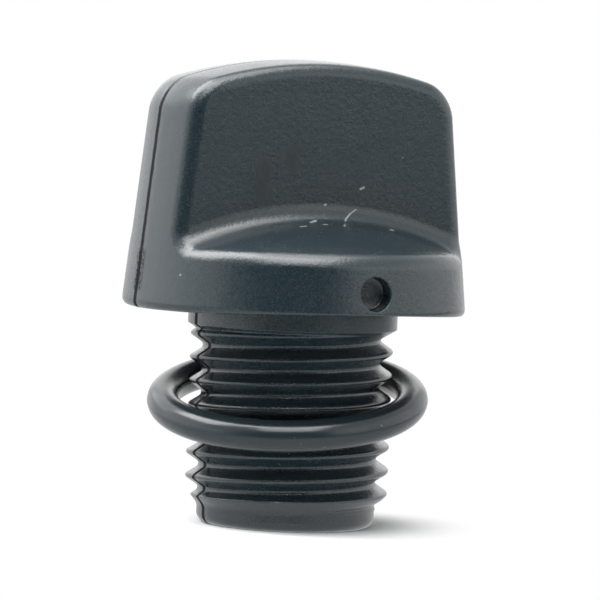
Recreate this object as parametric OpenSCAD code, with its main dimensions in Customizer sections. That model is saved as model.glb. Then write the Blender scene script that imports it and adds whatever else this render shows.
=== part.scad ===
// Oil filler plug: one moulded body with a grip, a round skirt and a coarse thread,
// and one rubber O-ring hanging loose on the thread.
// Units are millimetres. The bottom of the threaded end rests on z = 0 and its axis is Z.
// The grip is long along X, and its flat faces look along -Y (front) and +Y (rear).

/* [Grip] */
// height of the crown of the grip above the end of the thread
crown_z = 48.8; // [46:0.1:54]
// thickness of the grip between its two flat faces
grip_thickness = 12.4; // [9:0.1:15]
// radius of the gently domed crown, seen from the front
crown_radius = 45; // [36:1:80]
// radius of the shoulders between the crown and the ends
shoulder_radius = 2.5; // [1.5:0.1:4]
// rounding of the edges round the two flat faces
grip_edge = 1.2; // [0.6:0.1:1.6]
// radius of the hollow where a flat face meets the skirt
grip_root = 1.7; // [0.8:0.1:2.4]

/* [Skirt] */
// widest radius of the round skirt, near its lower edge
skirt_radius = 17.9; // [17:0.05:20]
// draft of the skirt and of the ends of the grip, in degrees
skirt_draft = 5.8; // [3:0.1:7]
// height of the outer rim of the ledge above the end of the thread
lip_z = 28.6; // [27.5:0.1:29.5]
// height that the ledge would reach on the axis
ledge_top_z = 32.8; // [31.8:0.1:33.5]
// rounding of the outer rim of the ledge
lip_round = 0.9; // [0.5:0.1:1.2]
// rounding of the lower outer edge of the skirt
hem_round = 1; // [0.7:0.1:1.6]
// how much higher the lower edge is at the middle of the front than at the ends of the grip
hem_arch = 0.7; // [0.4:0.1:1.1]
// radius of the round blind recess in the front of the skirt
recess_radius = 1.75; // [1.2:0.05:1.9]
// depth of that recess, measured along the middle plane from the widest radius
recess_depth = 2.2; // [1:0.1:3]
// height of its centre above the end of the thread
recess_z = 25.35; // [25.3:0.05:26.2]
// sideways place of its centre, along X
recess_x = 1.2; // [-2:0.1:2]

/* [Seat] */
// height of the flat seat for the O-ring, under the skirt
seat_z = 23.15; // [23.1:0.05:23.8]
// outer radius of the seat
seat_radius = 15; // [14.6:0.1:15.6]
// radius of the plain collar between the seat and the thread
collar_radius = 11; // [10.9:0.05:11.2]
// height of the lower edge of the collar
collar_z = 20.9; // [20.6:0.1:21.4]
// height of the cone between the collar and the bottom of the thread
collar_cone = 1; // [0.6:0.1:1.4]

/* [Thread] */
// outside radius of the thread
thread_radius = 10.65; // [10.4:0.05:10.75]
// radius at the bottom of the thread, which the plain tip shares
thread_root = 9.35; // [9:0.05:9.6]
// rise of the thread in one turn
thread_pitch = 2.5; // [2.3:0.1:2.8]
// flat width of the thread at its crest
crest_width = 0.5; // [0.4:0.05:0.7]
// flat width of the groove between two turns
groove_width = 0.5; // [0.3:0.05:0.6]
// length of the plain tip below the lead-in of the thread
tip_length = 1.9; // [1.6:0.1:2.6]
// angle of the lead-in cone from the axis, in degrees
lead_angle = 39; // [30:1:50]
// rounding of the lower edge of the tip
tip_round = 1; // [0.5:0.1:1.2]
// radius of the blind core moulded into the threaded end
core_radius = 6; // [4.5:0.1:6.6]
// depth of that core
core_depth = 24; // [16:0.5:26]

/* [O-ring] */
// thickness of the O-ring
ring_section = 3.4; // [3:0.1:3.6]
// how much wider the O-ring is inside than the thread is outside
ring_slack = 1.5; // [1.5:0.1:2]
// height of the middle of the O-ring as it hangs on the thread
ring_z = 13.2; // [12:0.1:14.5]
// sideways place of the middle of the O-ring, along X
ring_x = -0.34; // [-0.34:0.02:0.1]
// sideways place of the middle of the O-ring, along Y
ring_y = -0.2; // [-0.24:0.02:0.2]
// angle of the hanging O-ring from level, in degrees
ring_tilt = 13; // [8:0.5:13.5]
// compass direction of its low side, in degrees from +X
ring_low = 236; // [0:2:358]

/* [Hidden] */
$fn = 96;
embed = 0.4;                 // how far one shape reaches into the next so that they join
margin = 1;                  // how far a clip or a cut stands outside what it trims
far = 60;                    // reach of the cutting shapes
half = grip_thickness / 2;
slope = tan(skirt_draft);
widest_z = seat_z + 1.45;    // height at which the widest radius is measured
hem_low_z = seat_z - hem_arch;
seat_sink = 0.05;            // how far the seat lies above the highest line of the lower edge
face_foot_z = lip_z - 4;     // the flat faces run down to here inside the ledge
ring_inside = 2 * thread_radius + ring_slack;
ledge_radius = (pow(skirt_radius, 2) + pow(ledge_top_z - lip_z, 2)) / (2 * (ledge_top_z - lip_z));
ledge_centre_z = ledge_top_z - ledge_radius;
arch_radius = (pow(skirt_radius, 2) + pow(hem_arch, 2)) / (2 * hem_arch);
first_crest_z = 1.2;         // height of the crest on the +X side, before the first whole turn
facets_per_turn = 36;
run_in = 0.4;                // the ridge starts this far below the lead-in, which trims it
thread_top_z = collar_z + 0.7;  // the ridge ends here, inside the collar
turn_step = 360 / facets_per_turn;
ridge_from = ceil((tip_length - run_in - first_crest_z) / thread_pitch * facets_per_turn);
ridge_to = floor((thread_top_z + run_in - first_crest_z) / thread_pitch * facets_per_turn);

// radius of the drafted outer surface at a height
function outer_r(z) = skirt_radius - (z - widest_z) * slope;

// points of an arc in the plane of a profile
function arc(cx, cz, r, from, to, steps) =
    [for (i = [0 : steps]) let (a = from + (to - from) * i / steps) [cx + r * cos(a), cz + r * sin(a)]];

// centre of the shoulder arc: inside the crown by its radius and inside the draft by its radius
crown_centre_z = crown_z - crown_radius;
function shoulder_gap(z) =
    norm([outer_r(z) - shoulder_radius / cos(skirt_draft), z - crown_centre_z])
    - (crown_radius - shoulder_radius);
function shoulder_height(lo, hi, n) =
    n == 0 ? (lo + hi) / 2
    : shoulder_gap((lo + hi) / 2) > 0 ? shoulder_height(lo, (lo + hi) / 2, n - 1)
    : shoulder_height((lo + hi) / 2, hi, n - 1);
shoulder_z = shoulder_height(crown_z - 14, crown_z, 30);
shoulder_x = outer_r(shoulder_z) - shoulder_radius / cos(skirt_draft);
shoulder_end = atan2(shoulder_z - crown_centre_z, shoulder_x);

// closed profile of the drafted envelope, from the axis round the hem, up and over the crown
module envelope() {
    rotate_extrude()
        polygon(concat(
            [[0, hem_low_z]],
            arc(outer_r(hem_low_z + hem_round) - hem_round / cos(skirt_draft), hem_low_z + hem_round,
                hem_round, -90, skirt_draft, 6),
            arc(shoulder_x, shoulder_z, shoulder_radius, skirt_draft, shoulder_end, 8),
            arc(0, crown_centre_z, crown_radius, shoulder_end, 90, 14)
        ));
}

// outline of a section of the grip parallel to its flat faces, drawn in by two distances:
// one at the ends and one at the crown
function face_outline(in_x, in_z) = concat(
    [for (p = concat(
        [[outer_r(face_foot_z), face_foot_z, skirt_draft]],
        [for (p = arc(0, 0, 1, skirt_draft, shoulder_end, 5))
            [shoulder_x + shoulder_radius * p[0], shoulder_z + shoulder_radius * p[1], atan2(p[1], p[0])]],
        [for (p = arc(0, 0, 1, shoulder_end + 2, 80, 8))
            [crown_radius * p[0], crown_centre_z + crown_radius * p[1], atan2(p[1], p[0])]]
     ))
        if (p[0] > half) [sqrt(pow(p[0], 2) - pow(half, 2)) - in_x * cos(p[2]), p[1] - in_z * sin(p[2])]],
    [[0, crown_centre_z + sqrt(pow(crown_radius, 2) - pow(half, 2)) - in_z]]
);

// slab between the flat faces, with a rounded edge all round each face
module grip_slab() {
    turns = [90, 60, 35];
    outset = [1.2, 0.6];         // the middle layer stands this far outside the envelope, which trims it
    end_lead = grip_edge * tan((90 - asin(half / outer_r(shoulder_z))) / 2);
    crown_lead = grip_edge * tan((90 - asin(half / crown_radius)) / 2);
    layers = concat(
        [for (a = turns) [half - grip_edge * (1 - sin(a)), end_lead - grip_edge * cos(a),
            crown_lead - grip_edge * cos(a)]],
        [[half - grip_edge, -outset[0], -outset[1]]]
    );
    hull()
        for (layer = layers) let (
            side = face_outline(layer[1], layer[2]),
            count = len(side)
        )
            rotate([90, 0, 0])
                linear_extrude(height = 2 * layer[0], center = true)
                    polygon(concat(side, [for (i = [count - 2 : -1 : 0]) [-side[i][0], side[i][1]]]));
}

// domed ledge with its rounded rim, wider than the envelope that trims it
module ledge() {
    rim_inset = 0.02;            // keeps the arc of the rim just inside the drafted surface
    rim_from = 20;               // angle at which that arc starts, in degrees
    lead_out = 1.75;             // straight that leads from the arc out of the envelope
    centre_r = ledge_radius - lip_round;
    centre_x = outer_r(lip_z) - lip_round - rim_inset;
    centre_zz = ledge_centre_z + sqrt(pow(centre_r, 2) - pow(centre_x, 2));
    start = atan2(centre_zz - ledge_centre_z, centre_x);
    rotate_extrude()
        polygon(concat(
            [[0, hem_low_z - embed], [skirt_radius + margin, hem_low_z - embed]],
            [[skirt_radius + margin, centre_zz - lead_out]],
            [[centre_x + lip_round * cos(rim_from) + lead_out * sin(rim_from),
              centre_zz + lip_round * sin(rim_from) - lead_out * cos(rim_from)]],
            arc(centre_x, centre_zz, lip_round, rim_from, start, 5),
            arc(0, ledge_centre_z, ledge_radius, start, 90, 10)
        ));
}

// hollow fillet between one flat face and the ledge, turned about the centre of the ledge's dome
module grip_fillet() {
    ball_y = half + grip_root;
    ball_r = sqrt(pow(ledge_radius + grip_root, 2) - pow(ball_y, 2));
    foot = atan2(ball_r, ball_y);
    past = 3;                    // degrees past its tangent point, so that the arc enters the ledge
    translate([0, 0, ledge_centre_z])
        rotate([90, 0, 0])
            rotate_extrude($fn = 144)
                polygon(concat(
                    [[ball_r - 2 * grip_root, half - embed], [ball_r, half - embed]],
                    arc(ball_r, ball_y, grip_root, -90, -90 - foot - past, 6),
                    [[ball_r - 2 * grip_root, ball_y]]
                ));
}

module head() {
    difference() {
        intersection() {
            envelope();
            union() {
                grip_slab();
                ledge();
                grip_fillet();
                mirror([0, 1, 0]) grip_fillet();
            }
        }
        // arched lower edge
        translate([0, 0, seat_z - arch_radius])
            rotate([90, 0, 0])
                cylinder(r = arch_radius, h = far, center = true, $fn = 360);
        // flat seat
        translate([0, 0, hem_low_z - embed])
            cylinder(r = seat_radius, h = seat_z + seat_sink - hem_low_z + embed);
        // blind recess in the front
        translate([recess_x, -skirt_radius + recess_depth, recess_z])
            rotate([90, 0, 0])
                cylinder(r = recess_radius, h = far);
    }
}

// one helical ridge, a closed strip whose foot is sunk into the core of the thread
module thread_ridge() {
    foot_half = (thread_pitch - groove_width) / 2;
    turn_gap = 0.02;             // half the gap kept between two turns inside the core
    sink = foot_half + embed * (foot_half - crest_width / 2) / (thread_radius - thread_root);
    foot = min(sink, thread_pitch / 2 - turn_gap);
    section = [
        [thread_root - embed, -foot],
        [thread_radius, -crest_width / 2],
        [thread_radius, crest_width / 2],
        [thread_root - embed, foot]
    ];
    rings = ridge_to - ridge_from;
    points = [for (i = [ridge_from : ridge_to]) for (p = section)
        [p[0] * cos(i * turn_step), p[0] * sin(i * turn_step),
         first_crest_z + thread_pitch * i / facets_per_turn + p[1]]];
    sides = [for (i = [0 : rings - 1]) for (j = [0 : 3]) let (
        a = 4 * i + j,
        b = 4 * i + (j + 1) % 4
    ) each [[a, b, a + 4], [b, b + 4, a + 4]]];
    ends = [[3, 2, 1, 0], [4 * rings, 4 * rings + 1, 4 * rings + 2, 4 * rings + 3]];
    polyhedron(points = points, faces = concat(sides, ends), convexity = 10);
}

module shank() {
    rotate_extrude()
        polygon(concat(
            [[0, 0]],
            arc(thread_root - tip_round, tip_round, tip_round, -90, 0, 6),
            [[thread_root, collar_z - collar_cone],
             [collar_radius, collar_z],
             [collar_radius, seat_z + embed],
             [0, seat_z + embed]]
        ));
    over_r = thread_radius + margin;
    intersection() {
        thread_ridge();
        // conical lead-in below, collar above
        rotate_extrude()
            polygon([
                [0, tip_length],
                [thread_root, tip_length],
                [over_r, tip_length + (over_r - thread_root) / tan(lead_angle)],
                [over_r, thread_top_z],
                [0, thread_top_z]
            ]);
    }
}

module plug_body() {
    color("#1b2b31")
        difference() {
            union() {
                head();
                shank();
            }
            translate([0, 0, -margin])
                cylinder(r = core_radius, h = core_depth + margin);
        }
}

module o_ring() {
    color("#1d292e")
        translate([ring_x, ring_y, ring_z])
            rotate([0, ring_tilt, ring_low])
                rotate_extrude()
                    translate([(ring_inside + ring_section) / 2, 0])
                        circle(d = ring_section, $fn = 48);
}

plug_body();
o_ring();
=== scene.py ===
# %% [markdown]
# # An oil filler plug and its rubber ring
# The part is one black plastic moulding, with a broad grip, a round skirt and a coarse thread, and a
# rubber ring that hangs askew on the thread. The solid model gives every size. Blender gives the soft
# edges, the smooth thread, the two black finishes and the light.

# %% Load the frame
import math
import bpy
import numpy as np
from mathutils import Matrix, Vector


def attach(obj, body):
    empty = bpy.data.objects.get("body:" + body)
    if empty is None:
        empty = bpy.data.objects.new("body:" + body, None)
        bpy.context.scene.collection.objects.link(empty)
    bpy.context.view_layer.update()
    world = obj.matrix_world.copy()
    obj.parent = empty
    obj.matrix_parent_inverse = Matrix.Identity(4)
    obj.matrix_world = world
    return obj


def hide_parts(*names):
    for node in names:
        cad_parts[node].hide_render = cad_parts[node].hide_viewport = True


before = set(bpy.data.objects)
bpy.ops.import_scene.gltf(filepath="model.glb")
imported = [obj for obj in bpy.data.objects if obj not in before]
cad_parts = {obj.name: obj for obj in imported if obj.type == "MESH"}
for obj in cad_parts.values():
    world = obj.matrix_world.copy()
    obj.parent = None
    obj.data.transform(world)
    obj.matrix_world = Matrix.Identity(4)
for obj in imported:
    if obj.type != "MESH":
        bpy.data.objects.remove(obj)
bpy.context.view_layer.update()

# %% [markdown]
# ## Sizes
# The numbers repeat the solid model's, in millimetres, because this script can't read its source.
# Keeping them in one place lets a size change reach the grip, the skirt and the thread alike. Two differ
# on purpose. The skirt is 0.024 mm smaller, so that the round mesh stays inside the solid model's box.
# The thread's crest is narrower than the solid's 0.5 mm, because the photograph shows it nearly sharp.

# %% Sizes of the moulding and the ring
CROWN_Z, CROWN_R, SHOULDER_R, CROWN_OFF = 48.8, 45.0, 2.5, 0.4
HALF_GRIP, GRIP_EDGE, GRIP_ROOT = 6.2, 1.2, 1.7
SKIRT_R, WIDEST_Z, DRAFT = 17.876, 24.6, math.radians(5.8)
LIP_Z, LEDGE_TOP_Z, LIP_ROUND = 28.6, 32.8, 0.9
SEAT_Z, SEAT_R, HEM_ARCH, HEM_ROUND = 23.15, 15.0, 0.7, 1.0
COLLAR_R, COLLAR_Z = 11.0, 20.9
THREAD_R, ROOT_R, PITCH, FIRST_CREST_Z = 10.65, 9.35, 2.5, 1.2
CREST_W, GROOVE_W = 0.34, 0.5
TIP_LENGTH, TIP_ROUND, LEAD = 1.9, 1.0, math.radians(39.0)
CORE_R, CORE_DEPTH = 6.0, 24.0
DIMPLE_R, DIMPLE_DEPTH, DIMPLE_X, DIMPLE_Z = 1.75, 2.2, 1.2, 25.35
RING_SECTION, RING_INSIDE = 3.4, 22.8
ARCH_EDGE = 0.22
CREST_EASE, LEAD_EASE, ROOT_EASE = 0.24, 0.2, 0.3
RING_AT, RING_TILT, RING_LOW = (-0.34, -0.2, 13.2), math.radians(13.0), math.radians(236.0)
MM = 0.001
ledge_r = (SKIRT_R ** 2 + (LEDGE_TOP_Z - LIP_Z) ** 2) / (2 * (LEDGE_TOP_Z - LIP_Z))
ledge_z = LEDGE_TOP_Z - ledge_r
arch_r = (SKIRT_R ** 2 + HEM_ARCH ** 2) / (2 * HEM_ARCH)
arch_z = SEAT_Z - arch_r
print("ledge dome radius %.2f mm, arch radius %.2f mm" % (ledge_r, arch_r))

# %% [markdown]
# ## The form of the head as one function
# A moulded head has no sharp edge anywhere. It could be made from blocks with bevels, but bevels fail
# where three surfaces meet. Here every surface is a distance, below zero inside. Rounded joins of these
# distances give the grip, the ledge, the hollow fillet and the arched hem in one piece.

# %% Rounded joins of distances
def both(a, b, r):
    """The part that is inside a and inside b, with the edge between them rounded to radius r."""
    return np.minimum(np.maximum(a, b), -r) + np.hypot(np.maximum(a + r, 0), np.maximum(b + r, 0))


def either(a, b, r):
    """The part that is inside a or inside b, with a hollow fillet of radius r between them."""
    return np.maximum(np.minimum(a, b), r) - np.hypot(np.maximum(r - a, 0), np.maximum(r - b, 0))


def skirt_radius(z):
    """Radius of the drafted skirt and of the grip's ends at height z."""
    return SKIRT_R - (z - WIDEST_Z) * math.tan(DRAFT)


def head_form(x, y, z):
    """Distance to the head's surface in millimetres, below zero inside."""
    r = np.hypot(x, y)
    drafted = (r - skirt_radius(z)) * math.cos(DRAFT)
    crown = np.sqrt((x - CROWN_OFF) ** 2 + y ** 2 + (z - (CROWN_Z - CROWN_R)) ** 2) - CROWN_R
    faces = np.abs(y) - HALF_GRIP
    dome = np.hypot(r, z - ledge_z) - ledge_r
    grip = both(both(drafted, crown, SHOULDER_R), faces, GRIP_EDGE)
    skirt = both(dome, drafted, LIP_ROUND)
    head = np.maximum(either(grip, skirt, GRIP_ROOT), drafted)
    head = both(head, (SEAT_Z - HEM_ARCH) - z, HEM_ROUND)
    return both(head, arch_r - np.hypot(x, z - arch_z), ARCH_EDGE)


def slope_of(form, p, h=0.01):
    """Outward unit normals of a form at points p, by small steps."""
    n = np.stack([form(*(p + h * e).T) - form(*(p - h * e).T) for e in np.eye(3)], 1)
    return n / np.linalg.norm(n, axis=1)[:, None]


at_face = float(head_form(0.0, -HALF_GRIP, 40.0))
print("the front face is at y = %.2f mm, and the form there is %.4f" % (-HALF_GRIP, at_face))

# %% [markdown]
# ## Where the columns stand
# The mesh is a net of columns round the axis and rows from the core, over the outside, to the crown.
# Even columns would be too wide at the four upright edges of the grip, so they crowd there.

# %% Columns round the axis
def crowded(count, at, width, extra):
    """Angles round a full turn, even but closer near the given angles."""
    t = np.linspace(0, 2 * np.pi, 20001)
    density = np.ones_like(t)
    for a in at:
        d = (t - a + np.pi) % (2 * np.pi) - np.pi
        density += extra * np.exp(-(d / width) ** 2)
    total = np.concatenate([[0], np.cumsum((density[1:] + density[:-1]) / 2)])
    return np.interp(np.arange(count) / count * total[-1], total, t)


N = 288
upright_edges = [math.radians(a) for a in (22, 158, 202, 338)]
theta = crowded(N, upright_edges, math.radians(4.0), 3.5)
COS, SIN = np.cos(theta), np.sin(theta)
apart = np.degrees(np.diff(theta))
print("%d columns, %.2f to %.2f degrees apart" % (N, apart.min(), apart.max()))

# %% [markdown]
# ## Rows of the head
# Each column is a flat section of the head. Seen from a point on the axis inside the skirt, its whole
# outline is in view, so each row is a ray from that point and the surface is where the ray leaves the
# form. Six marks along the outline keep the rows close together at the edges.

# %% Rows of the head
EYE_Z = 25.0
HEM_MARK_R, FOOT_MARK_Z, FOOT_LIFT, TOP_MARK_R = 17.6, 29.6, 0.25, 14.6
HALVINGS = 42


def eased(n):
    """n steps from 0 to 1 that are closer at both ends."""
    u = (np.arange(n) + 1) / n
    return 0.5 * (1 - np.cos(np.pi * u)) * 0.75 + 0.25 * u


def soft_min(a, b, k=0.5):
    """The smaller of two lengths, eased where they meet."""
    return -k * np.log(np.exp(-a / k) + np.exp(-b / k))


def arch_height(r):
    """Height of the arched hem at radius r, for every column."""
    return np.maximum(arch_z + np.sqrt(arch_r ** 2 - (r * COS) ** 2), SEAT_Z - HEM_ARCH)


def head_marks():
    """Marks along each column's outline: edge of the seat, hem, rim of the ledge, foot of the grip,
    top edge and crown."""
    flat = HALF_GRIP / np.maximum(np.abs(SIN), 1e-3)
    foot_r = soft_min(flat, np.full_like(flat, skirt_radius(FOOT_MARK_Z)))
    foot_z = ledge_z + np.sqrt(ledge_r ** 2 - foot_r ** 2) + FOOT_LIFT
    top_r = soft_min(flat, np.full_like(flat, TOP_MARK_R))
    top_z = CROWN_Z - CROWN_R + np.sqrt(CROWN_R ** 2 - top_r ** 2)
    same = np.ones_like(flat)
    return [(SEAT_R * same, arch_height(SEAT_R)), ((HEM_MARK_R - 0.05) * same, arch_height(HEM_MARK_R)),
            (skirt_radius(LIP_Z) * same, LIP_Z * same - 0.1), (foot_r, foot_z), (top_r, top_z),
            (0 * same, CROWN_Z * same)]


def leave(form, phi):
    """Where rays at angle phi above level leave the form, for every column: radius and height."""
    near, far = np.full_like(phi, 3.0), np.full_like(phi, 40.0)
    for _ in range(HALVINGS):
        mid = (near + far) / 2
        r, z = mid * np.cos(phi), EYE_Z + mid * np.sin(phi)
        inside = form(r * COS, r * SIN, z) < 0
        near, far = np.where(inside, mid, near), np.where(inside, far, mid)
    return near * np.cos(phi), EYE_Z + near * np.sin(phi)


outline_marks = head_marks()
rows_between = [4, 26, 16, 34, 16]
HEM_ROW = rows_between[0]
rays = [np.arctan2(outline_marks[0][1] - EYE_Z, outline_marks[0][0])]
for (r0, z0), (r1, z1), n in zip(outline_marks, outline_marks[1:], rows_between):
    for t in eased(n):
        rays.append(np.arctan2(z0 + (z1 - z0) * t - EYE_Z, r0 + (r1 - r0) * t))
rays = rays[:-1]
head_rows = [leave(head_form, phi) for phi in rays]
print("%d rows on the head" % len(head_rows))

# %% [markdown]
# ## The threaded shank
# The thread is one ridge that winds right-handed up the shank. It could be a swept curve joined to a
# cylinder, but that leaves a seam. Here the radius is worked out from the height and the angle, so the
# ridge grows out of the root, fades in at the lead-in cone and runs out into the collar. Level rows would
# cut the ridge in steps, so the rows of the net wind up with it, close together at the edges of the crest.

# %% Radius of the shank at an angle and a height
def soft(a, b, r):
    """The larger of two radii, eased over r where they meet."""
    d = np.clip(0.5 + 0.5 * (a - b) / r, 0, 1)
    return b + (a - b) * d + r * d * (1 - d)


def shank_radius(turn, z):
    """Radius of the shank in millimetres. turn is the angle in radians."""
    plain = np.interp(z, [COLLAR_Z - 0.99, COLLAR_Z, 99], [ROOT_R, COLLAR_R, COLLAR_R])
    rounding = ROOT_R - TIP_ROUND + np.sqrt(np.maximum(TIP_ROUND ** 2 - (TIP_ROUND - z) ** 2, 0))
    plain = np.where(z < TIP_ROUND, rounding, plain)
    phase = (z - FIRST_CREST_Z - PITCH * turn / (2 * np.pi)) / PITCH
    off = np.abs(phase - np.round(phase)) * PITCH
    flank = (PITCH - CREST_W - GROOVE_W) / 2
    lift = np.clip(1 - (off - CREST_W / 2) / flank, -0.6, 1.6)
    ridge = ROOT_R + (THREAD_R - ROOT_R) * lift
    ridge = -soft(-ridge, np.full_like(ridge, -THREAD_R), CREST_EASE)
    lead_in = ROOT_R + (z - TIP_LENGTH) * math.tan(LEAD)
    ridge = -soft(-ridge, -lead_in, LEAD_EASE)
    return np.where(z < TIP_ROUND, plain, soft(ridge, plain, ROOT_EASE))


def shank_form(x, y, z):
    """Distance outwards from the shank's surface, below zero inside."""
    return np.hypot(x, y) - shank_radius(np.arctan2(y, x) % (2 * np.pi), z)


def level_rows(heights):
    """Rows of the shank at given heights."""
    return [(shank_radius(theta, np.full_like(theta, z)), np.full_like(theta, z)) for z in heights]


round_the_tip = [TIP_ROUND - TIP_ROUND * math.cos(math.radians(a)) for a in range(0, 91, 13)]
tip_rows = level_rows(round_the_tip + [1.05, 1.3, 1.6])
collar_rows = level_rows([COLLAR_Z, COLLAR_Z + 0.06, COLLAR_Z + 0.15, 21.5, 22.2, 22.9, 23.1])
beside_crest = [0.07, 0.13, 0.18, 0.24, 0.33, 0.5, 0.75, 0.92, 1.0, 1.1]
steps = [-o for o in beside_crest[::-1]] + [0.0] + beside_crest + [PITCH / 2]
climb = PITCH * theta / (2 * np.pi)
winding_rows = [FIRST_CREST_Z + PITCH * n + step + climb for n in range(-1, 9) for step in steps]
print("%d winding rows, %d to a turn" % (len(winding_rows), len(steps)))

# %% [markdown]
# ## One closed net
# The rows are joined from the roof of the blind core, down its wall, round the end face, up the thread,
# over the seat and the hem and up to the crown. The winding rows end on the level rows of the tip and of
# the collar, where their points are shared. The two poles close with a fan.

# %% Join the rows into one closed net
def ring(r, z):
    """A level row of one radius."""
    return (np.full_like(theta, r), np.full_like(theta, z))


core = [ring(r, CORE_DEPTH) for r in (1.5, 4.5, 5.6)]
core += [ring(CORE_R - 0.12, CORE_DEPTH - 0.03), ring(CORE_R, CORE_DEPTH - 0.4)]
core += [ring(CORE_R, z) for z in (18.0, 12.0, 6.0, 1.0, 0.2)]
core += [ring(CORE_R + 0.05, 0.05), ring(CORE_R + 0.2, 0.0), ring(7.2, 0.0), ring(8.0, 0.0)]
seat = [ring(COLLAR_R, SEAT_Z)]
seat += [ring(r, SEAT_Z + 0.05) for r in (COLLAR_R + 0.06, COLLAR_R + 0.3, 13.0, SEAT_R - 0.12)]
seat += [ring(SEAT_R - 0.01, SEAT_Z + 0.02)]
rows = core + tip_rows + collar_rows + seat + head_rows
first_head_row = len(rows) - len(head_rows)
first_shank_row = len(core)
tip_top_row = len(core) + len(tip_rows) - 1
points = np.array([np.stack([r * COS, r * SIN, z], 1) for r, z in rows]).reshape(-1, 3)
print("%d rows of %d columns" % (len(rows), N))

# %% [markdown]
# ## The round recess
# A net of columns and rows can't follow a small round hole. So the net is left open in a window round
# the recess, and a fan of rings fills it: first over the skirt, then round the rim, down the wall and
# across the floor. Every ring has as many points as the window's edge, so nothing gapes.

# %% Fill the window round the recess
def skirt_front(x, z):
    """The y of the front of the skirt at given x and z."""
    near, far = np.full_like(x, 12.0), np.full_like(x, 22.0)
    for _ in range(HALVINGS):
        mid = (near + far) / 2
        inside = head_form(x, -mid, z) < 0
        near, far = np.where(inside, mid, near), np.where(inside, far, mid)
    return -near


WINDOW_HALF, WINDOW_BELOW, WINDOW_ABOVE, BEVEL = 3.0, 0.13, 0.5, 0.1
front = 1.5 * np.pi
aside = SKIRT_R * np.sin(theta - front) - DIMPLE_X
cols = [i for i in range(N) if abs(aside[i]) < WINDOW_HALF and theta[i] > math.pi]
c0, c1 = cols[0], cols[-1]
skirt_rows = range(first_head_row + HEM_ROW, first_head_row + HEM_ROW + rows_between[1])
row_z = np.array([points[r * N + (c0 + c1) // 2][2] for r in skirt_rows])
r0 = skirt_rows[int(np.argmin(np.abs(row_z - (DIMPLE_Z - DIMPLE_R - WINDOW_BELOW))))]
r1 = skirt_rows[int(np.argmin(np.abs(row_z - (DIMPLE_Z + DIMPLE_R + WINDOW_ABOVE))))]
window = [r0 * N + c for c in range(c0, c1)] + [r * N + c1 for r in range(r0, r1)]
window += [r1 * N + c for c in range(c1, c0, -1)] + [r * N + c0 for r in range(r1, r0, -1)]
edge_xz = points[window][:, [0, 2]]
angle = np.unwrap(np.arctan2(edge_xz[:, 1] - DIMPLE_Z, edge_xz[:, 0] - DIMPLE_X))
spread = angle[0] + np.arange(len(window)) / len(window) * 2 * np.pi
angle = 0.5 * angle + 0.5 * spread
rim_x, rim_z = np.cos(angle), np.sin(angle)


def recess_ring(radius, y):
    """A ring of points round the recess's axis."""
    return np.stack([DIMPLE_X + radius * rim_x, y + 0 * rim_x, DIMPLE_Z + radius * rim_z], 1)


outer_rim = recess_ring(DIMPLE_R + BEVEL, 0.0)[:, [0, 2]]
fan = []
for t in (0.3, 0.55, 0.75, 0.88, 0.96, 1.0):
    xz = edge_xz * (1 - t) + outer_rim * t
    fan.append(np.stack([xz[:, 0], skirt_front(xz[:, 0], xz[:, 1]), xz[:, 1]], 1))
floor_y = -SKIRT_R + DIMPLE_DEPTH
mouth_y = fan[-1][:, 1]
for a in (0.4, 0.8, math.pi / 2):
    fan.append(recess_ring(DIMPLE_R + BEVEL * (1 - math.sin(a)), mouth_y + BEVEL * (1 - math.cos(a))))
for t in (0.35, 0.7):
    fan.append(recess_ring(DIMPLE_R, (mouth_y + BEVEL) * (1 - t) + (floor_y - 0.2) * t))
for radius, up in ((DIMPLE_R, -0.2), (DIMPLE_R - 0.06, -0.06), (DIMPLE_R - 0.2, 0.0), (DIMPLE_R * 0.5, 0.0)):
    fan.append(recess_ring(radius, floor_y + up))
print("recess window: %d points on its edge, %d rings" % (len(window), len(fan)))

# %% [markdown]
# ## Faces between the level rows
# Blender takes a list of points and a list of faces. The level rows join straight up, four points to a
# face. Two places stay open for now: the window of the recess, and the height that the thread takes.

# %% Faces between the level rows
def left_open(r, c):
    """True where the level rows have no face: at the recess and where the winding rows go."""
    return (r0 <= r < r1 and c0 <= c < c1) or r == tip_top_row


faces = []
for r in range(len(rows) - 1):
    for c in range(N):
        if not left_open(r, c):
            d = (c + 1) % N
            faces.append((r * N + c, r * N + d, (r + 1) * N + d, (r + 1) * N + c))
verts = list(points)
print("%d faces between level rows" % len(faces))

# %% [markdown]
# ## Faces between the winding rows
# A winding row doesn't close on itself: after one turn it meets the row one pitch higher, so there the
# faces step over by one turn of rows. Points that fall beyond the thread are taken from the level row of
# the tip or of the collar, and faces that shrink to nothing there are left out. Cutting the thread into a
# finished cylinder would be shorter to write, but it leaves slivers along every edge.

# %% Faces between the winding rows
CLOSEST = 0.02  # a winding point nearer than this to a level row becomes that row's point
low_z, high_z = points[tip_top_row * N][2] + CLOSEST, points[(tip_top_row + 1) * N][2] - CLOSEST
first_winding = len(verts)
index = []
for heights in winding_rows:
    radius = shank_radius(theta, heights)
    line = []
    for c in range(N):
        if heights[c] < low_z:
            line.append(tip_top_row * N + c)
        elif heights[c] > high_z:
            line.append((tip_top_row + 1) * N + c)
        else:
            line.append(len(verts))
            verts.append(np.array([radius[c] * COS[c], radius[c] * SIN[c], heights[c]]))
    index.append(line)
last_winding = len(verts)
top_line = [(tip_top_row + 1) * N + c for c in range(N)]
index += [top_line] * (len(steps) + 1)
for r in range(len(winding_rows)):
    for c in range(N):
        q, d = (r, c + 1) if c < N - 1 else (r + len(steps), 0)
        corners = [index[r][c], index[q][d], index[q + 1][d], index[r + 1][c]]
        kept = [v for i, v in enumerate(corners) if v not in corners[:i]]
        if len(kept) > 2:
            faces.append(tuple(kept))
print("%d faces with the thread" % len(faces))

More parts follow.
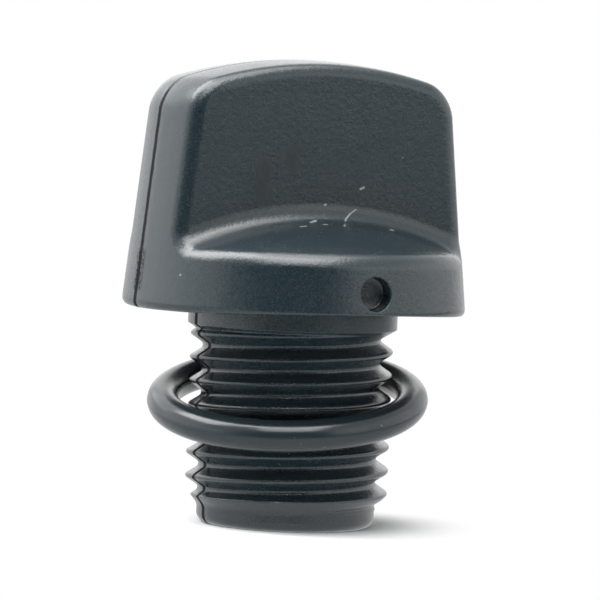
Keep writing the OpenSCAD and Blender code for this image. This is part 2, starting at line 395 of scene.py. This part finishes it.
# %% [markdown]
# ## Close the net and write the mesh
# Two fans close the roof of the core and the crown, and the rings of the recess fill its window. The net
# is then one closed surface, as the real moulding is.

# %% Close the net and write the mesh
def mesh_object(name, verts, faces):
    """A smooth mesh object from points in millimetres and faces."""
    mesh = bpy.data.meshes.new(name)
    mesh.from_pydata((np.asarray(verts) * MM).tolist(), [], faces)
    mesh.validate()
    mesh.polygons.foreach_set("use_smooth", np.ones(len(mesh.polygons), dtype=bool))
    mesh.update()
    obj = bpy.data.objects.new(name, mesh)
    bpy.context.scene.collection.objects.link(obj)
    return obj


roof, apex = len(verts), len(verts) + 1
verts += [np.array([0, 0, CORE_DEPTH]), np.array([0, 0, CROWN_Z])]
last = (len(rows) - 1) * N
faces += [(roof, (c + 1) % N, c) for c in range(N)]
faces += [(last + c, last + (c + 1) % N, apex) for c in range(N)]
loop = list(window)
m = len(loop)
for fan_ring in fan:
    start = len(verts)
    verts += list(fan_ring)
    new = list(range(start, start + m))
    faces += [(loop[i], loop[(i + 1) % m], new[(i + 1) % m], new[i]) for i in range(m)]
    loop = new
centre = len(verts)
verts.append(np.array([DIMPLE_X, floor_y, DIMPLE_Z]))
faces += [(loop[i], loop[(i + 1) % m], centre) for i in range(m)]
verts = np.array(verts)
plug = mesh_object("moulded_plug", verts, faces)
print("moulded plug: %d points, %d faces" % (len(verts), len(faces)))

# %% [markdown]
# ## Normals from the form itself
# A mesh guesses its shading from its flat faces, which leaves ripples where long thin faces meet short
# ones. The form knows its own slope, so the mesh takes its shading normals from there.

# %% Shading normals
plug_mesh = plug.data
plain_normals = np.zeros(len(verts) * 3)
plug_mesh.vertices.foreach_get("normal", plain_normals)
normals = plain_normals.reshape(-1, 3).copy()
for a, b in ((first_shank_row * N, (tip_top_row + 1 + len(collar_rows)) * N), (first_winding, last_winding)):
    normals[a:b] = slope_of(shank_form, verts[a:b])
a, b = (first_head_row + 1) * N, first_head_row * N + len(head_rows) * N
normals[a:b] = slope_of(head_form, verts[a:b])
normals[apex] = (0, 0, 1)
plug_mesh.normals_split_custom_set_from_vertices(normals.tolist())
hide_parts("plug_body")
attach(plug, "root")
first, second, third = (verts[[face[k] for face in faces]] for k in range(3))
outward = float(np.einsum("ij,ij->i", first, np.cross(second, third)).sum()) > 0
print("the faces look outward:", outward)

# %% [markdown]
# ## The rubber ring
# The ring is a plain round cord of rubber. It could be the solid model's own torus, but a moulded
# ring has a fine flash line round its inside and outside and is never quite round, so it is made point by
# point.

# %% The ring's mesh
AROUND, SECTION = 240, 44
FLASH_HEIGHT, FLASH_WIDTH, OUT_OF_ROUND = 0.025, 0.045, 0.03


def ring_points():
    """The ring's points while it lies flat on the origin."""
    u = np.linspace(0, 2 * np.pi, AROUND, endpoint=False)[:, None]
    v = np.linspace(0, 2 * np.pi, SECTION, endpoint=False)[None, :]
    flash = FLASH_HEIGHT * (np.exp(-(np.sin(v) / FLASH_WIDTH) ** 2))
    tube = RING_SECTION / 2 - 0.03 + flash
    middle = (RING_INSIDE + RING_SECTION) / 2 + OUT_OF_ROUND * np.sin(2 * u + 0.6)
    x = (middle + tube * np.cos(v)) * np.cos(u)
    y = (middle + tube * np.cos(v)) * np.sin(u)
    z = tube * np.sin(v) + 0 * u
    return np.stack([x, y, z], 2).reshape(-1, 3)


def tilted(p):
    """The ring's place on the thread: leaned over about its own Y, turned to its low side, then moved."""
    ct, st, cl, sl = math.cos(RING_TILT), math.sin(RING_TILT), math.cos(RING_LOW), math.sin(RING_LOW)
    x, y, z = p[:, 0] * ct + p[:, 2] * st, p[:, 1], -p[:, 0] * st + p[:, 2] * ct
    return np.stack([x * cl - y * sl, x * sl + y * cl, z], 1) + np.array(RING_AT)


def ring_point(i, j):
    return (i % AROUND) * SECTION + j % SECTION


rubber = mesh_object("rubber_ring", tilted(ring_points()), [
    (ring_point(i, j), ring_point(i + 1, j), ring_point(i + 1, j + 1), ring_point(i, j + 1))
    for i in range(AROUND) for j in range(SECTION)])
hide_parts("o_ring")
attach(rubber, "root")
print("ring: %d faces" % len(rubber.data.polygons))

# %% [markdown]
# ## Shader arithmetic in plain Python
# Node trees are easier to read as sums. One small class wraps a socket and turns Python's operators
# into Math nodes, and one method adds any other node.

# %% Shader helper
class Sock:
    """One output socket of a node tree, which can be used in sums."""

    def __init__(self, tree, socket):
        self.tree, self.socket = tree, socket

    def put(self, node_type, settings, inputs, out=0):
        """Add a node: its settings first, then the values or links of its sockets."""
        node = self.tree.nodes.new(node_type)
        for key, value in settings.items():
            setattr(node, key, value)
        for key, value in inputs.items():
            if isinstance(value, Sock):
                self.tree.links.new(value.socket, node.inputs[key])
            else:
                node.inputs[key].default_value = value
        return Sock(self.tree, node.outputs[out])

    def math(self, operation, *args):
        return self.put("ShaderNodeMath", {"operation": operation}, dict(enumerate(args)))

    def __add__(self, other): return self.math("ADD", self, other)
    def __radd__(self, other): return self.math("ADD", other, self)
    def __sub__(self, other): return self.math("SUBTRACT", self, other)
    def __rsub__(self, other): return self.math("SUBTRACT", other, self)
    def __mul__(self, other): return self.math("MULTIPLY", self, other)
    def __rmul__(self, other): return self.math("MULTIPLY", other, self)


def finish_named(name):
    """A new material: its tree's wrapper, its shader, and the place on the object in metres."""
    material = bpy.data.materials.new(name)
    material.use_nodes = True
    tree = material.node_tree
    shader = tree.nodes["Principled BSDF"]
    place = Sock(tree, tree.nodes.new("ShaderNodeTexCoord").outputs["Object"])
    return material, tree, shader, place


print("a socket can be used with +, - and *")

# %% [markdown]
# ## Moulded plastic
# The body is black filled plastic with a cool semi-gloss skin. Up close the skin has a very fine
# texture from the mould and soft cloudy differences in gloss from handling. The two halves of the mould
# met on the plane through the axis and the ends of the grip. They left a fine groove there, with a rough
# patch low on the left end where the plastic was let in. The groove could be cut into the mesh, but it is
# only about a tenth of a millimetre deep, so bump makes its relief and painted shade makes it dark, with a
# painted highlight along its edges.

# %% Helpers for the finishes
def noise(place, scale, detail=2.0, rough=0.5):
    """Cloudy values from 0 to 1. A larger scale gives smaller clouds."""
    return place.put("ShaderNodeTexNoise", {},
                     {"Vector": place, "Scale": scale, "Detail": detail, "Roughness": rough})


def step(value, low, high, start=0.0, end=1.0):
    """A smooth step from start to end while a value goes from low to high."""
    return value.put("ShaderNodeMapRange", {"interpolation_type": "SMOOTHSTEP"},
                     {0: value, 1: low, 2: high, 3: start, 4: end})


def span(value, low, high, soft):
    """1 between low and high, and 0 beyond, with an edge as wide as soft."""
    return step(value, low, low + soft) * step(value, high, high + soft, 1.0, 0.0)


def blend(factor, a, b):
    """A colour between a and b."""
    return factor.put("ShaderNodeMix", {"data_type": "RGBA"}, {0: factor, 6: a, 7: b}, 2)


def colour(r, g, b):
    return (r, g, b, 1)


def vector(place, operation, *args, out=0):
    """A Vector Math node. Its dot product and its lengths come out of socket 1."""
    return place.put("ShaderNodeVectorMath", {"operation": operation}, dict(enumerate(args)), out)


def axes_of(place):
    """The three coordinates of a place."""
    split = place.put("ShaderNodeSeparateXYZ", {}, {0: place})
    return [Sock(place.tree, split.socket.node.outputs[k]) for k in range(3)]


def near_line(place, a, b, width):
    """1 on the straight line from a to b, given in millimetres, and 0 beyond its width."""
    a, b = np.array(a) * MM, np.array(b) * MM
    d = b - a
    rel = vector(place, "SUBTRACT", place, tuple(a))
    dot = vector(rel, "DOT_PRODUCT", rel, tuple(d / float(d @ d)), out=1)
    along = dot.put("ShaderNodeClamp", {}, {0: dot})
    foot = along.put("ShaderNodeVectorMath", {"operation": "SCALE"}, {0: tuple(d), 3: along})
    gap = vector(rel, "DISTANCE", rel, foot, out=1)
    return step(gap, width * MM * 0.3, width * MM * 0.75, 1.0, 0.0)


def finish(material, tree, shader, obj, tint, gloss, height, depth):
    """Give the shader its colour, roughness and bump, and the object its material."""
    tree.links.new(tint.socket, shader.inputs["Base Color"])
    tree.links.new(gloss.socket, shader.inputs["Roughness"])
    bump = height.put("ShaderNodeBump", {}, {"Strength": 1.0, "Distance": depth, "Height": height})
    tree.links.new(bump.socket, shader.inputs["Normal"])
    obj.data.materials.append(material)
    print("%s: %d nodes" % (material.name, len(tree.nodes)))


print("helpers for noise, steps, colours and scratches are ready")

# %% Skin of the plastic
material, tree, shader, place = finish_named("moulded_black_plastic")
x, y, z = axes_of(place)
clouds = noise(place, 160.0, 3.0, 0.55)
strokes = noise(vector(place, "MULTIPLY", place, (1.0, 1.0, 0.22)), 420.0, 2.0, 0.6)
skin = noise(place, 5200.0, 2.0, 0.6)
grain = noise(place, 9500.0, 1.0, 0.5)
uneven = noise(place, 1900.0, 2.0, 0.6)
smear = step(strokes, 0.5, 0.62) * step(x, -0.0095, -0.007) * step(x, -0.0035, -0.001, 1.0, 0.0)
smear = smear * step(z, 0.033, 0.0345) * step(z, 0.0385, 0.041, 1.0, 0.0)
print("skin: clouds 6 mm wide, unevenness 0.5 mm, grain 0.1 mm")

# %% [markdown]
# ## Parting line, gate and scratches
# The line lies where y is nearly zero, and a little noise lets it wander. The gate is a torn patch on
# it, low on the left end. Each scratch is a short straight line, and its places were read off the
# photograph. They could be painted, but a painted picture is fixed to its size and these lines aren't.

# %% Parting line, gate and scratches
wander = (noise(place, 900.0, 2.0, 0.6) - 0.5) * 0.00022
off_seam = y.math("ABSOLUTE", y + wander)
seam = step(off_seam, 0.00018, 0.0005, 1.0, 0.0) * step(z, 0.0445, 0.0465, 1.0, 0.3)
# painted highlight: a lighter strip along both edges of the parting line
seam_edge_highlight = step(off_seam, 0.00045, 0.0007) * step(off_seam, 0.0007, 0.0013, 1.0, 0.0)
gate_noise = noise(place, 3600.0, 3.0, 0.65)
gate = step(off_seam, 0.0006, 0.0013, 1.0, 0.0) * step(x, -0.0168, -0.0172) * span(z, 0.0243, 0.0284, 0.0006)
ragged = gate * step(gate_noise, 0.44, 0.56)

SCRATCHES = (
    ((-1.78, -7.51, 32.1), (-1.16, -7.25, 32.25), 0.3), ((-3.41, -8.66, 31.71), (-2.82, -8.59, 31.77), 0.24),
    ((-0.61, -8.19, 31.95), (-0.26, -8.18, 31.96), 0.24), ((1.58, -8.5, 31.86), (2.49, -6.83, 32.52), 0.2),
    ((2.49, -6.83, 32.52), (3.12, -6.42, 33.03), 0.17), ((3.12, -6.42, 33.03), (3.87, -6.23, 33.51), 0.13),
    ((4.31, -6.2, 35.65), (4.7, -6.19, 35.81), 0.2), ((0.27, -6.2, 33.89), (0.42, -6.2, 33.95), 0.2),
    ((-16.13, -7.32, 26.41), (-16.1, -7.36, 26.45), 0.17), ((7.47, -7.35, 31.51), (7.7, -7.35, 31.45), 0.26),
)
marks = near_line(place, *SCRATCHES[0])
for scratch in SCRATCHES[1:]:
    marks = marks.math("MAXIMUM", marks, near_line(place, *scratch))
dust = step(noise(place, 2600.0, 1.0, 0.4), 0.80, 0.84) * step(clouds, 0.45, 0.6)
pale = marks.math("MINIMUM", 0.85 * marks + 0.5 * dust, 1.0)
print("%d scratches, the longest %.1f mm" % (len(SCRATCHES), max(math.dist(a, b) for a, b, _ in SCRATCHES)))

# %% [markdown]
# ## Colour, gloss and relief of the plastic
# Each mark changes the colour, the gloss and the relief together, as on the real moulding: a scratch is
# pale and dull. The parting line and the gate are dark with painted shade, darker colour and a dark
# diffuse shader mixed in, for the light that their groove and torn patch trap. The line's edges get a
# painted highlight, a lighter colour.

# %% Finish of the plastic
tint = blend(clouds, colour(0.0068, 0.0168, 0.0222), colour(0.0104, 0.0210, 0.0266))
tint = blend(0.7 * step(skin, 0.42, 0.64), tint, colour(0.0200, 0.0300, 0.0340))
tint = blend(0.7 * step(grain, 0.42, 0.64), tint, colour(0.0025, 0.0110, 0.0150))
tint = blend(0.75 * smear, tint, colour(0.002, 0.006, 0.009))
# painted shade: the parting line's groove is darkened in colour
tint = blend(seam * 0.9, tint, colour(0.002, 0.003, 0.004))
# painted highlight along the edges of the parting line
tint = blend(0.5 * seam_edge_highlight, tint, colour(0.035, 0.045, 0.05))
# painted shade: the gate's torn patch is darkened in colour
tint = blend(ragged * 0.7, tint, colour(0.0015, 0.003, 0.004))
tint = blend(pale, tint, colour(0.24, 0.265, 0.265))
gloss = 0.25 + 0.1 * (clouds - 0.5) + 0.07 * (strokes - 0.5) + 0.05 * (skin - 0.5) + 0.08 * (uneven - 0.5)
gloss = gloss + 0.35 * seam + 0.35 * ragged + 0.3 * pale + 0.12 * smear
height = 0.55 * skin + 0.3 * grain + 0.8 * uneven + 0.5 * clouds + 1.3 * strokes
height = height - 4.5 * seam + 9.0 * gate * gate_noise
shader.inputs["IOR"].default_value = 1.6
# painted shade: a dark diffuse shader mixed in at the parting line and the gate stands for light trapped in
# them
painted_shade_bsdf = place.put("ShaderNodeBsdfDiffuse", {}, {"Color": colour(0.003, 0.004, 0.005)})
painted_shade_mix = place.put("ShaderNodeMixShader", {},
                 {0: 0.7 * seam + 0.5 * ragged * (1.0 - seam), 1: Sock(tree, shader.outputs[0]), 2: painted_shade_bsdf})
tree.links.new(painted_shade_mix.socket, tree.nodes["Material Output"].inputs["Surface"])
finish(material, tree, shader, plug, tint, gloss, height, 0.00003)

# %% [markdown]
# ## Rubber
# The ring is smooth black rubber with a wet-looking shine. It holds a few specks of dust and its skin is
# slightly uneven, which breaks its long highlight. It could share the plastic's finish, but rubber is
# glossier here and has no parting line to the eye, so it gets a shorter one of its own.

# %% Rubber
material, tree, shader, place = finish_named("black_ring_rubber")
clouds = noise(place, 220.0, 3.0, 0.55)
grain = noise(place, 7000.0, 2.0, 0.6)
specks = step(noise(place, 3000.0, 1.0, 0.4), 0.79, 0.82)
tint = blend(clouds, colour(0.0085, 0.0165, 0.021), colour(0.0115, 0.0205, 0.025))
tint = blend(step(grain, 0.35, 0.65), tint, colour(0.0125, 0.0185, 0.0225))
tint = blend(specks * 0.6, tint, colour(0.30, 0.33, 0.33))
gloss = 0.21 + 0.1 * (clouds - 0.5) + 0.06 * (grain - 0.5) + 0.3 * specks
finish(material, tree, shader, rubber, tint, gloss, 0.3 * grain + clouds + specks, 0.00002)

# %% [markdown]
# ## Camera
# The photograph looks at the plug from its front left, a little from above, and leans by about two
# degrees. The camera's place was worked out from the thread's turns, the rim and the end of the tip.

# %% Camera
AZIMUTH = math.radians(-24.5)
right_way = np.array([math.cos(AZIMUTH), math.sin(AZIMUTH), 0.0])
into = np.array([-math.sin(AZIMUTH), math.cos(AZIMUTH), 0.0])
CAM_ASIDE, CAM_BACK, CAM_Z = 2.03, 482.0, 50.64
CAM_PITCH, CAM_YAW, CAM_ROLL = math.radians(3.209), math.radians(-0.162), math.radians(2.367)
FOCAL_PIXELS, IMAGE_PIXELS, SENSOR = 4597.0, 600.0, 36.0
level_look = math.sin(CAM_YAW) * right_way + math.cos(CAM_YAW) * into
look = math.cos(CAM_PITCH) * level_look - math.sin(CAM_PITCH) * np.array([0, 0, 1.0])
side = math.cos(CAM_YAW) * right_way - math.sin(CAM_YAW) * into
up = np.cross(side, look)
rolled_side = math.cos(CAM_ROLL) * side + math.sin(CAM_ROLL) * up
rolled_up = -math.sin(CAM_ROLL) * side + math.cos(CAM_ROLL) * up
camera = bpy.data.objects.new("camera", bpy.data.cameras.new("camera"))
camera.data.sensor_width = SENSOR
camera.data.lens = FOCAL_PIXELS / IMAGE_PIXELS * SENSOR
camera.data.clip_start = 0.01
spot = (CAM_ASIDE * right_way - CAM_BACK * into + np.array([0, 0, CAM_Z])) * MM
turn = Matrix([list(v) for v in np.stack([rolled_side, rolled_up, -look], 1)]).to_4x4()
camera.matrix_world = Matrix.Translation(spot.tolist()) @ turn
bpy.context.scene.collection.objects.link(camera)
bpy.context.scene.camera = camera
print("camera at", [round(float(v), 4) for v in spot], "lens %.0f mm" % camera.data.lens)

# %% [markdown]
# ## Floor
# The photograph has a pure white ground. The floor is plain white to the eye and in reflections, and
# close to the plug it is an ordinary pale surface, so that the plug's soft shadow stays. The skirt and the
# collar mirror a dark room in front and on the right, so reflections see a dimmer floor there. A painted
# backdrop would need more light on the plug to look this white.

# %% Floor
def ray_kinds(place):
    """What Light Path tells of a ray: the camera sees it, gloss mirrors it, or it went through glass."""
    kinds = place.put("ShaderNodeLightPath", {}, {}).socket.node.outputs
    return [Sock(place.tree, kinds["Is %s Ray" % kind]) for kind in ("Camera", "Glossy", "Transmission")]


def towards(place, azimuth):
    """How far a place lies in a level direction, in degrees to the right of the camera's side."""
    a = AZIMUTH + math.radians(azimuth)
    return vector(place, "DOT_PRODUCT", place, (math.sin(a), -math.cos(a), 0.0), out=1)


WHITE, BLACK = colour(1, 1, 1), colour(0, 0, 0)
floor_mesh = bpy.data.meshes.new("floor")
floor_mesh.from_pydata([(-3, -3, 0), (3, -3, 0), (3, 3, 0), (-3, 3, 0)], [], [(0, 1, 2, 3)])
floor = bpy.data.objects.new("floor", floor_mesh)
bpy.context.scene.collection.objects.link(floor)
material, tree, shader, place = finish_named("white_floor")
shader.inputs["Base Color"].default_value = colour(0.93, 0.93, 0.93)
shader.inputs["Roughness"].default_value = 0.9
seen, glossy, passed = ray_kinds(place)
beyond_shadow = step(vector(place, "LENGTH", place, out=1), 0.011, 0.024)
in_front, on_right = step(towards(place, 0), 0.05, 0.25), step(towards(place, 65), 0.07, 0.2)
dimmed = 0.95 * in_front.math("MAXIMUM", in_front, on_right) * (1.0 - seen)
white = place.put("ShaderNodeEmission", {}, {"Color": blend(dimmed, WHITE, BLACK), "Strength": 1.0})
mixed = place.put("ShaderNodeMixShader", {},
                  {0: seen * beyond_shadow + glossy + passed, 1: Sock(tree, shader.outputs[0]), 2: white})
tree.links.new(mixed.socket, tree.nodes["Material Output"].inputs["Surface"])
floor_mesh.materials.append(material)
print("floor: %d nodes, %.0f m wide" % (len(tree.nodes), floor.dimensions.x))

# %% [markdown]
# ## World and lamps
# The world is white to the camera and in reflections, but lights the plug only a little. A dark patch in
# it, towards the camera, stands for the photographer's side of the room, which the front of the skirt
# mirrors. Eleven soft square lamps stand where the photograph's highlights say that its lights were.
# Their strengths were found by rendering each lamp alone and fitting the sum to the photograph.

# %% World and lamps
world = bpy.data.worlds.new("studio")
bpy.context.scene.world = world
world.use_nodes = True
background = world.node_tree.nodes["Background"]
sky = Sock(world.node_tree, world.node_tree.nodes.new("ShaderNodeTexCoord").outputs["Generated"])
dark = step(towards(sky, 0), math.cos(math.radians(60)), math.cos(math.radians(15)))
seen, glossy, passed = ray_kinds(sky)
shown = seen + glossy + passed
level = shown * (0.97 - 0.97 * dark) + 0.03 + 0.12 * (1.0 - shown)
world.node_tree.links.new(blend(level, BLACK, WHITE).socket, background.inputs["Color"])
background.inputs["Strength"].default_value = 1.0
LAMP_DISTANCE, AIM = 0.6, np.array([0, 0, 0.027])


def softbox(name, azimuth, elevation, size, glow):
    """A square lamp 0.6 m from the plug and aimed at it. Azimuth is counted from the camera's side,
    to the right, and glow is the brightness of the lamp's face, where 1 is the white of the ground."""
    a = AZIMUTH + math.radians(azimuth)
    e = math.radians(elevation)
    way = np.array([math.sin(a) * math.cos(e), -math.cos(a) * math.cos(e), math.sin(e)])
    lamp = bpy.data.objects.new(name, bpy.data.lights.new(name, "AREA"))
    lamp.data.shape = "SQUARE"
    lamp.data.size = size
    lamp.data.energy = glow * math.pi * size ** 2
    lamp.location = (AIM + way * LAMP_DISTANCE).tolist()
    lamp.rotation_euler = Vector((-way).tolist()).to_track_quat("-Z", "Y").to_euler()
    bpy.context.scene.collection.objects.link(lamp)


LAMPS = (
    ("left_wall_softbox", -95, 12, 0.5, 0.8), ("right_wall_softbox", 95, 12, 0.5, 0.48),
    ("rear_left_softbox", -135, 8, 0.4, 0.27), ("rear_right_softbox", 135, 8, 0.4, 0.2),
    ("rear_softbox", 180, 22, 0.4, 0.7), ("right_front_softbox", 50, 18, 0.35, 0.68),
    ("overhead_softbox", 0, 86, 0.45, 4.0), ("front_high_softbox", 0, 58, 0.4, 5.2),
    ("left_high_softbox", -90, 55, 0.4, 8.2), ("rear_left_high_softbox", -135, 35, 0.4, 1.0),
    ("low_left_softbox", -60, 2, 0.25, 0.5),
)
for lamp in LAMPS:
    softbox(*lamp)
bpy.context.scene.view_settings.view_transform = "Standard"
print("%d lamps, the brightest face %.1f times the white ground" % (len(LAMPS), max(lamp[4] for lamp in LAMPS)))
